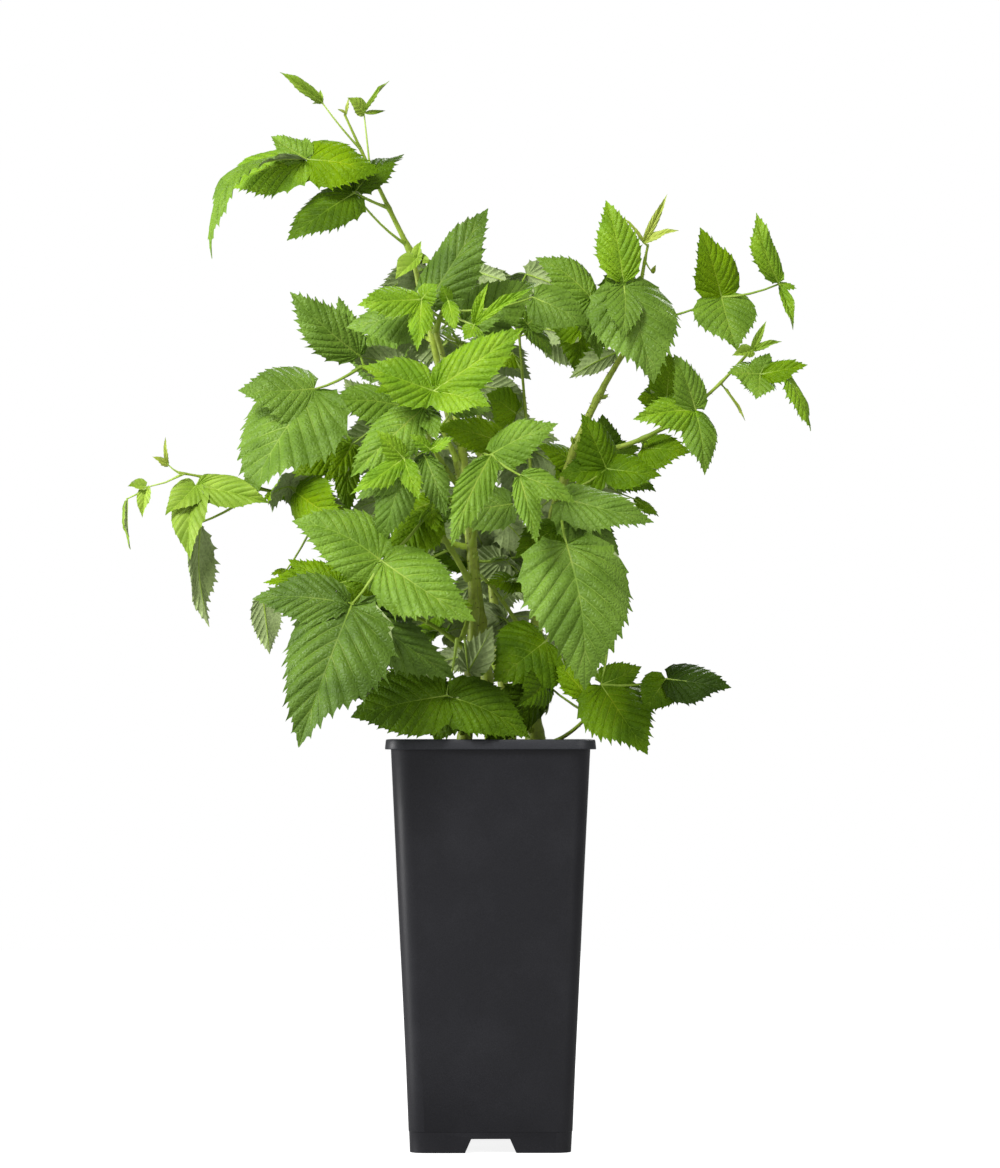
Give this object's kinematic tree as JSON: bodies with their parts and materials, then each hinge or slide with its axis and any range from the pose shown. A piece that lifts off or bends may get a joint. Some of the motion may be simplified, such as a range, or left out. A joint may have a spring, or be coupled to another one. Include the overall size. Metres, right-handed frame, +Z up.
{
  "type": "raspberry cane in a pot",
  "caption": "Young raspberry plant with leafy bending canes, growing in a tall square black nursery pot; a potted fruit bush for gardens and patios.",
  "frame": {"origin": "middle of the whole plant's footprint, on the surface that the pot stands on", "axes": "+Z up along the canes, -Y towards the plant's fullest side, which is its front, +X to the right seen from there"},
  "size_m": [0.362, 0.2586, 0.5765],
  "materials": {
    "pot_plastic": "moulded black plastic, soft sheen",
    "potting_compost": "loose, matte, fibrous",
    "green_cane": "green bark, satin, fine prickles",
    "leaves": "quilted leaf, soft satin above, grey-green and matte below"
  },
  "bodies": {
    "root": {"pot": "pot_plastic", "compost": "potting_compost", "rightCane": "green_cane", "centreCane": "green_cane", "leftCane": "green_cane", "backCane": "green_cane", "highShoot": "leaves", "topShoot": "leaves", "centreShoot": "leaves", "frontShoot": "leaves", "rightFrontShoot": "leaves", "lowLeftShoot": "leaves", "lowShoot": "leaves", "leftShoot": "leaves", "leftArm": "leaves", "rightTopShoot": "leaves", "rightShoot": "leaves", "shadedShoot": "leaves", "lowRightShoot": "leaves", "basalShoot": "leaves", "thinShoot": "leaves", "backTop": "leaves", "backLeft": "leaves", "backRight": "leaves", "backMiddle": "leaves", "backLow": "leaves", "leftBack": "leaves", "rightBack": "leaves", "innerLeft": "leaves", "innerRight": "leaves", "innerFront": "leaves"}
  },
  "joints": []
}
